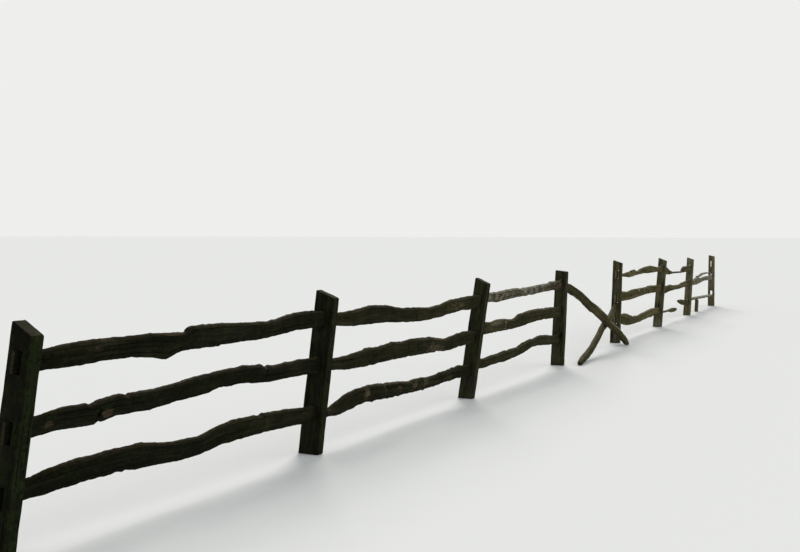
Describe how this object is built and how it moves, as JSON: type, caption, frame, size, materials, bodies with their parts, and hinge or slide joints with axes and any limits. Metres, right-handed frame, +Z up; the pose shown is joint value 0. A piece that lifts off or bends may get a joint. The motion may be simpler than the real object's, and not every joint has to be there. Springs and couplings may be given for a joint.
{
  "type": "post and rail fence",
  "caption": "Old mortised fence of cleft oak: leaning slant-topped posts carry rows of hand-split rails, with one bay fallen and others broken",
  "frame": {"origin": "centre of the first post's foot, at ground level", "axes": "+X along the row from post 1 to post 8, +Y to the far side, +Z up"},
  "size_m": [19.4335, 0.5138, 1.2085],
  "materials": {
    "post_oak": "weathered, dark brown with green algae on the lit edges",
    "rail_oak": "weathered, dark brown with grey split grain",
    "frosted_oak": "silvered and pale along the top edges"
  },
  "bodies": {
    "root": {"post_1": "post_oak", "post_2": "post_oak", "post_3": "post_oak", "post_4": "post_oak", "post_5": "post_oak", "post_6": "post_oak", "post_7": "post_oak", "post_8": "post_oak", "bay_1_top_rail": "rail_oak", "bay_1_middle_rail": "rail_oak", "bay_1_bottom_rail": "rail_oak", "bay_2_top_rail": "rail_oak", "bay_2_middle_rail": "rail_oak", "bay_2_bottom_rail": "rail_oak", "bay_3_top_rail": "frosted_oak", "bay_3_middle_rail": "rail_oak", "bay_3_bottom_rail": "rail_oak", "bay_5_top_rail": "rail_oak", "bay_5_middle_rail": "rail_oak", "bay_5_bottom_rail": "rail_oak", "bay_4_fallen_top_rail": "rail_oak", "bay_4_fallen_middle_rail": "rail_oak", "bay_6_top_rail": "rail_oak", "bay_6_middle_rail": "rail_oak", "bay_6_bottom_rail_left": "rail_oak", "bay_6_bottom_rail_right": "rail_oak", "bay_7_middle_rail": "frosted_oak", "bay_7_middle_splinter": "frosted_oak", "bay_7_top_rail_stub": "rail_oak", "bay_7_bottom_board": "frosted_oak", "bay_7_board_prop": "rail_oak"}
  },
  "joints": []
}
